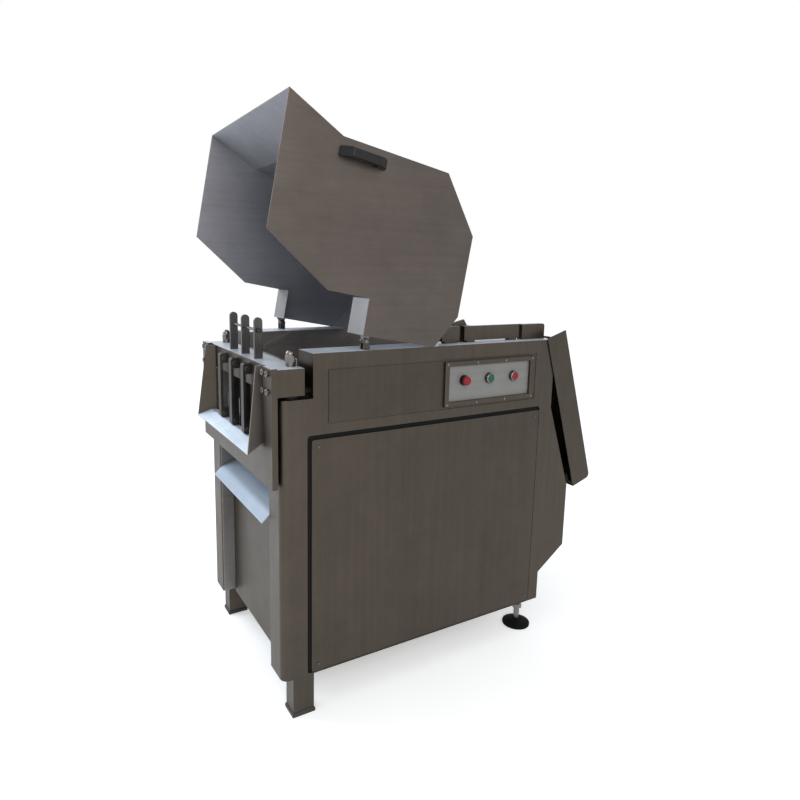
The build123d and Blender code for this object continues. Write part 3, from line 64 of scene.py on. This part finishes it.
def new_material(name):
    """An empty node material with its output; returns it with its tree."""
    material = bpy.data.materials.new(name)
    material.use_nodes = True
    tree = material.node_tree
    tree.nodes.clear()
    return material, tree


def add_node(tree, kind, settings=(), inputs=()):
    """A node with its settings, and values or links for its inputs."""
    node = tree.nodes.new(kind)
    for key, value in dict(settings).items():
        setattr(node, key, value)
    for key, value in dict(inputs).items():
        if isinstance(value, bpy.types.NodeSocket):
            tree.links.new(value, node.inputs[key])
        else:
            node.inputs[key].default_value = value
    return node


def math_node(tree, operation, first, second=0.0, clamp=False):
    """One Math node's output."""
    node = add_node(tree, "ShaderNodeMath", {"operation": operation, "use_clamp": clamp},
                    {0: first, 1: second})
    return node.outputs[0]


def blend_colors(tree, factor, first, second, mode="MIX"):
    """Mixes two colours by a factor."""
    node = add_node(tree, "ShaderNodeMix", {"data_type": "RGBA", "blend_type": mode})
    for index, value in ((0, factor), (6, first), (7, second)):
        if isinstance(value, bpy.types.NodeSocket):
            tree.links.new(value, node.inputs[index])
        else:
            node.inputs[index].default_value = value
    return node.outputs[2]


def ramp(tree, value, low, high, out_low=0.0, out_high=1.0):
    """Maps low..high to out_low..out_high, clamped."""
    node = add_node(tree, "ShaderNodeMapRange", {"clamp": True},
                    {"Value": value, "From Min": low, "From Max": high,
                     "To Min": out_low, "To Max": out_high})
    return node.outputs[0]


def noise(tree, scale, stretch=(1.0, 1.0, 1.0), detail=3.0, roughness=0.5):
    """Noise in the piece's own place, stretched along the axes."""
    place = add_node(tree, "ShaderNodeTexCoord")
    mapping = add_node(tree, "ShaderNodeMapping", {}, {"Vector": place.outputs["Object"],
                                                       "Scale": stretch})
    node = add_node(tree, "ShaderNodeTexNoise", {}, {
        "Vector": mapping.outputs[0], "Scale": scale, "Detail": detail, "Roughness": roughness})
    return node.outputs[0]


def edge_mask(tree, radius):
    """About 1 on a sharp edge's last millimetres, 0 on flat faces."""
    bevel = add_node(tree, "ShaderNodeBevel", {"samples": 4}, {"Radius": radius})
    geometry = add_node(tree, "ShaderNodeNewGeometry")
    dot = add_node(tree, "ShaderNodeVectorMath", {"operation": "DOT_PRODUCT"},
                   {0: bevel.outputs[0], 1: geometry.outputs["Normal"]})
    return ramp(tree, dot.outputs["Value"], 0.995, 0.75), bevel.outputs[0]


def shade(color, amount):
    """A colour made lighter or darker."""
    return tuple(min(1.0, part * amount) for part in color[:3]) + (1.0,)


def finish_surface(tree, color, roughness, metallic, normal=None, more=()):
    """The shader and the output."""
    inputs = {"Base Color": color, "Roughness": roughness, "Metallic": metallic}
    inputs.update(dict(more))
    if normal is not None:
        inputs["Normal"] = normal
    shader = add_node(tree, "ShaderNodeBsdfPrincipled", {}, inputs)
    output = add_node(tree, "ShaderNodeOutputMaterial")
    tree.links.new(shader.outputs[0], output.inputs["Surface"])


def steel(name, color, rough=0.42, grain=(1.0, 1.0, 0.03), grain_depth=0.25, cloud=0.16,
          edge=1.6, metallic=1.0):
    """Brushed stainless sheet: fine grain, cloudy tone from handling, paler edges that are
    partly rubbed and partly a painted highlight.
    """
    material, tree = new_material(name)
    fine = noise(tree, 900.0, grain, 2.0, 0.6)
    broad = noise(tree, 5.0, (1.0, 1.0, 1.0), 5.0, 0.6)
    streak = noise(tree, 70.0, grain, 3.0, 0.55)
    blotch = noise(tree, 26.0, (1.0, 1.0, 1.0), 4.0, 0.65)
    tone = ramp(tree, broad, 0.3, 0.7, 1.0 - cloud, 1.0 + cloud)
    tone = math_node(tree, "MULTIPLY", tone, ramp(tree, streak, 0.3, 0.7, 0.95, 1.05))
    tone = math_node(tree, "MULTIPLY", tone, ramp(tree, blotch, 0.35, 0.65, 0.97, 1.03))
    tone = math_node(tree, "MULTIPLY", tone, ramp(tree, fine, 0.2, 0.8, 0.93, 1.07))
    toned = blend_colors(tree, 1.0, (*color, 1.0), tone, "MULTIPLY")
    # Paler edges: partly rubbed, partly a painted highlight where edges would catch the light;
    # the edge argument sets how pale
    mask, soft_normal = edge_mask(tree, 0.0016)
    wear_and_edge_highlight = math_node(tree, "MULTIPLY", mask, ramp(tree, blotch, 0.4, 0.6, 0.3, 1.0))
    with_wear_and_highlight = blend_colors(tree, wear_and_edge_highlight, toned, shade(color, edge))
    roughness = math_node(tree, "ADD", ramp(tree, broad, 0.3, 0.7, rough - 0.07, rough + 0.07),
                          ramp(tree, fine, 0.2, 0.8, -0.06, 0.06))
    bump = add_node(tree, "ShaderNodeBump", {}, {
        "Strength": grain_depth, "Distance": 0.0003, "Height": fine, "Normal": soft_normal})
    finish_surface(tree, with_wear_and_highlight, roughness, metallic, bump.outputs[0])
    return material


def paint(name, color, rough=0.45, speckle=0.05, more=()):
    """Painted or moulded surface: slightly uneven colour, orange-peel bump."""
    material, tree = new_material(name)
    peel = noise(tree, 420.0, (1.0, 1.0, 1.0), 2.0, 0.5)
    broad = noise(tree, 9.0, (1.0, 1.0, 1.0), 4.0, 0.6)
    dust = noise(tree, 60.0, (1.0, 1.0, 1.0), 5.0, 0.7)
    tone = ramp(tree, broad, 0.3, 0.7, 1.0 - speckle, 1.0 + speckle)
    tone = math_node(tree, "MULTIPLY", tone, ramp(tree, dust, 0.35, 0.7, 0.95, 1.06))
    toned = blend_colors(tree, 1.0, (*color, 1.0), tone, "MULTIPLY")
    # Paler edges: partly rubbed, partly a painted highlight where edges would catch the light
    mask, soft_normal = edge_mask(tree, 0.0008)
    with_wear_and_highlight = blend_colors(tree, math_node(tree, "MULTIPLY", mask, 0.5), toned, shade(color, 1.5))
    uneven = ramp(tree, dust, 0.3, 0.7, rough - 0.06, rough + 0.08)
    bump = add_node(tree, "ShaderNodeBump", {}, {
        "Strength": 0.18, "Distance": 0.0002, "Height": peel, "Normal": soft_normal})
    finish_surface(tree, with_wear_and_highlight, uneven, 0.0, bump.outputs[0], more)
    return material


# The grain's direction: along X, Z or Y
across = (0.03, 1.0, 1.0)
upright = (1.0, 1.0, 0.03)
sideways = (1.0, 0.03, 1.0)
# By default a finish is that of the record's slot of the same name
finishes = {
    "shell": steel("steel_shell", (0.078, 0.066, 0.054), rough=0.44, grain=upright,
                   grain_depth=0.25, cloud=0.10),
    "panel": steel("steel_panel", (0.073, 0.062, 0.050), rough=0.46, grain=upright,
                   grain_depth=0.3, cloud=0.12),
    "hood": steel("steel_hood", (0.108, 0.092, 0.082), rough=0.42, grain=across,
                  grain_depth=0.15, cloud=0.08),
    "frame": steel("steel_frame", (0.10, 0.10, 0.10), rough=0.5, grain=across),
    "bright": steel("steel_bright", (0.19, 0.18, 0.17), rough=0.24, grain=upright,
                    grain_depth=0.15, cloud=0.14, edge=1.8),
    # Painted sky reflection: the discharge chute is coloured pale bluish
    "sheet": steel("steel_sheet_painted_sky", (0.36, 0.425, 0.51), rough=0.6, grain=sideways,
                   grain_depth=0.2, cloud=0.06, edge=1.1, metallic=0.25),
    # Painted sky reflection: the scoop's upward-facing shelf is coloured pale bluish
    "shelf": steel("steel_shelf_painted_sky", (0.62, 0.70, 0.80), rough=0.5, grain=sideways, grain_depth=0.2,
                   cloud=0.06, edge=1.1, metallic=0.5),
    # Painted sky reflection: brighter finish for the hood's front flanges
    "flange": steel("steel_flange_painted_sky", (0.22, 0.22, 0.225), rough=0.5, grain=upright,
                    grain_depth=0.2, cloud=0.08, edge=1.1, metallic=0.6),
    # Painted light: paler finish for the hood's inner faces
    "inside_painted_light": steel("steel_inside_painted_light", (0.28, 0.282, 0.308), rough=0.55, grain=across,
                    grain_depth=0.1, cloud=0.10, edge=1.3, metallic=0.7),
    # Painted sky reflection: pale bluish finish for upward faces of the beam, front plate, rims
    # and rails
    "tops_painted_sky": steel("steel_tops_painted_sky", (0.58, 0.62, 0.69), rough=0.45, grain=sideways,
                   grain_depth=0.2, cloud=0.12, edge=1.2, metallic=0.4),
    # Painted light: paler finish for the side walls' inner faces and the guide strips
    "inner_walls_painted_light": steel("steel_inner_walls_painted_light", (0.23, 0.22, 0.215), rough=0.5, grain=across,
                    grain_depth=0.2, cloud=0.12, edge=1.6, metallic=0.8),
    "cheek": steel("steel_cheek", (0.20, 0.18, 0.165), rough=0.55, grain=upright,
                   grain_depth=0.2, cloud=0.10, edge=1.6, metallic=0.6),
    "blade": steel("steel_blade", (0.105, 0.10, 0.098), rough=0.36, grain=upright,
                   grain_depth=0.3, cloud=0.18, edge=2.6),
    "cast": steel("steel_cast", (0.062, 0.057, 0.053), rough=0.46, grain=upright,
                  grain_depth=0.5, cloud=0.22, edge=3.0),
    "dark_plastic": paint("dark_plastic", (0.02, 0.019, 0.018), rough=0.55),
    "black_plastic": paint("black_plastic", (0.008, 0.0075, 0.0085), rough=0.4, speckle=0.05,
                           more={"Specular IOR Level": 0.3}),
    "rubber": paint("rubber", (0.006, 0.006, 0.006), rough=0.8, speckle=0.15,
                    more={"Specular IOR Level": 0.12}),
    "face_plate": steel("face_plate", (0.185, 0.184, 0.174), rough=0.5, grain=across,
                        grain_depth=0.1, cloud=0.05, edge=1.05, metallic=0.2),
    "green_button": paint("green_button", (0.002, 0.085, 0.034), rough=0.4, speckle=0.05,
                          more={"Specular IOR Level": 0.3}),
    "red_button": paint("red_button", (0.21, 0.008, 0.014), rough=0.4, speckle=0.05,
                        more={"Specular IOR Level": 0.3}),
    "painted": paint("painted", (0.10, 0.12, 0.14), rough=0.45),
    "painted_dark": paint("painted_dark", (0.03, 0.032, 0.035), rough=0.45),
    "motor": paint("motor", (0.03, 0.07, 0.13), rough=0.5),
    "aluminium": steel("aluminium", (0.50, 0.50, 0.52), rough=0.42, grain=across,
                       grain_depth=0.2, cloud=0.08, edge=1.2),
}
# Nodes whose finish differs from their slot's
own_finish = {
    # discharge_chute gets the sheet finish, a painted sky reflection; guide_strips get the paler
    # inner-wall finish, painted light
    "scoop": "cheek", "discharge_chute": "sheet", "guide_strips": "inner_walls_painted_light",
    "panel_screws": "blade", "control_screws": "bright", "bracket_bolts": "blade",
    "knife_brackets": "cast", "knife_tie_rod": "bright", "foot_discs": "rubber",
}
for entry in frame["record"]["subparts"]:
    node = nodes[entry["node"]]
    finish = own_finish.get(entry["node"], entry["material_slot"])
    node.data.materials.clear()
    node.data.materials.append(finishes[finish])


def refinish(name, finish, chosen):
    """Gives the faces of a node that chosen() picks another finish."""
    mesh = nodes[name].data
    mesh.materials.append(finishes[finish])
    for polygon in mesh.polygons:
        if chosen(polygon):
            polygon.material_index = len(mesh.materials) - 1


# A face looks along an axis when this much of its normal lies along it
square_on = 0.9
hood_tilt = math.radians(10.5)
flange_face = Vector((-math.cos(hood_tilt), 0.0, math.sin(hood_tilt)))
flange_least_area = 0.002
half_sheet = 0.001
plate_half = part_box("hood_sides")[1][1] - half_sheet
hood_low, hood_high = (Vector(corner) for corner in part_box("hood_wrap"))
hood_middle = (hood_low + hood_high) / 2

# Inside, the hood is painted paler than its ground outside: painted light, standing in for the
# light bounced around inside it
refinish("hood_sides", "inside_painted_light",
         lambda face: abs(face.normal.y) > square_on and abs(face.center.y) < plate_half)
refinish("hood_wrap", "inside_painted_light",
         lambda face: face.normal.dot(face.center - hood_middle) < 0.0)
# Painted light: the hood's front flanges and the scoop's sloping shelf are brighter as a painted
# sky reflection, and the far cheek's side faces take the darker shell finish as painted shade
refinish("hood_sides", "flange",
         lambda face: face.normal.dot(flange_face) > 0.99 and face.area > flange_least_area)
refinish("scoop", "shelf", lambda face: face.normal.z > 0.8)
refinish("scoop", "shell",
         lambda face: abs(face.normal.y) > square_on and face.center.y > 0.0)
# The tie rod's end nuts are darker than the rod between the knives
rod_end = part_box("knife_tie_rod")[1][1]
nut_length = 0.014
refinish("knife_tie_rod", "cast", lambda face: abs(face.center.y) > rod_end - nut_length)
# Painted light: the beam's top, the rims and the rails' tops get a pale bluish painted sky
# reflection, and the side walls' inner faces a paler finish as painted light
refinish("crosshead_beam", "tops_painted_sky", lambda face: face.normal.z > square_on)
refinish("front_plate", "tops_painted_sky", lambda face: face.normal.z > square_on)
throat_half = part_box("side_wall_far")[0][1]
for wall in ("side_wall_near", "side_wall_far"):
    refinish(wall, "inner_walls_painted_light",
             lambda face: (abs(face.normal.y) > square_on
                           and abs(abs(face.center.y) - throat_half) < half_sheet))
just_under_rim = 1.0
for piece in ("side_wall_near", "side_wall_far", "guide_rails", "rail_end_blocks"):
    refinish(piece, "tops_painted_sky",
             lambda face: face.normal.z > square_on and face.center.z > just_under_rim)


# Floor, world and lamps: white where seen, at a plain level on the object

def seen_directly(tree, amount):
    """The amount for camera, glossy and transmission rays, 0 for the light on the object."""
    path = add_node(tree, "ShaderNodeLightPath")
    seen = math_node(tree, "ADD", path.outputs["Is Camera Ray"], path.outputs["Is Glossy Ray"])
    seen = math_node(tree, "ADD", seen, path.outputs["Is Transmission Ray"], True)
    return math_node(tree, "MULTIPLY", seen, amount)


def add_floor():
    """A plain pale floor that looks white and keeps the object's shadow."""
    bpy.ops.mesh.primitive_plane_add(size=40.0, location=(0.0, 0.0, 0.0))
    floor = bpy.context.object
    floor.name = "floor"
    material, tree = new_material("floor")
    grain = noise(tree, 3.0, (1.0, 1.0, 1.0), 4.0, 0.5)
    color = blend_colors(tree, ramp(tree, grain, 0.3, 0.7, 0.0, 1.0), (0.93, 0.93, 0.93, 1.0),
                         (0.96, 0.96, 0.96, 1.0))
    matt = add_node(tree, "ShaderNodeBsdfDiffuse", {}, {"Color": color})
    glow = add_node(tree, "ShaderNodeEmission", {}, {"Strength": seen_directly(tree, 0.36)})
    both = add_node(tree, "ShaderNodeAddShader", {}, {0: matt.outputs[0], 1: glow.outputs[0]})
    output = add_node(tree, "ShaderNodeOutputMaterial")
    tree.links.new(both.outputs[0], output.inputs["Surface"])
    floor.data.materials.append(material)


def add_world():
    """White where the camera or a reflection sees it, soft and slightly cool elsewhere."""
    world = bpy.data.worlds.new("world")
    scene.world = world
    world.use_nodes = True
    tree = world.node_tree
    tree.nodes.clear()
    white = add_node(tree, "ShaderNodeBackground", {}, {"Color": (1.0, 1.0, 1.0, 1.0),
                                                        "Strength": 1.0})
    soft = add_node(tree, "ShaderNodeBackground", {}, {"Color": (0.92, 0.96, 1.0, 1.0),
                                                       "Strength": 0.75})
    mixed = add_node(tree, "ShaderNodeMixShader", {}, {
        0: seen_directly(tree, 1.0), 1: soft.outputs[0], 2: white.outputs[0]})
    output = add_node(tree, "ShaderNodeOutputWorld")
    tree.links.new(mixed.outputs[0], output.inputs["Surface"])


def add_lamp(name, place, target, size, power, color):
    """A soft rectangular lamp aimed at a point."""
    data = bpy.data.lights.new(name, "AREA")
    data.shape = "RECTANGLE"
    data.size, data.size_y = size
    data.energy = power
    data.color = color
    lamp = bpy.data.objects.new(name, data)
    aim = (Vector(target) - Vector(place)).to_track_quat("-Z", "Y")
    lamp.matrix_world = Matrix.Translation(place) @ aim.to_matrix().to_4x4()
    lamp.visible_camera = False
    scene.collection.objects.link(lamp)


add_floor()
add_world()
add_lamp("key", place=(-2.6, 2.4, 3.0), target=(-0.2, 0.0, 1.0), size=(2.4, 1.8),
         power=85.0, color=(0.84, 0.92, 1.0))
add_lamp("fill", place=(-1.2, -3.6, 2.6), target=(0.0, 0.0, 0.9), size=(2.6, 2.0),
         power=60.0, color=(1.0, 0.95, 0.90))
scene.view_settings.view_transform = "Standard"
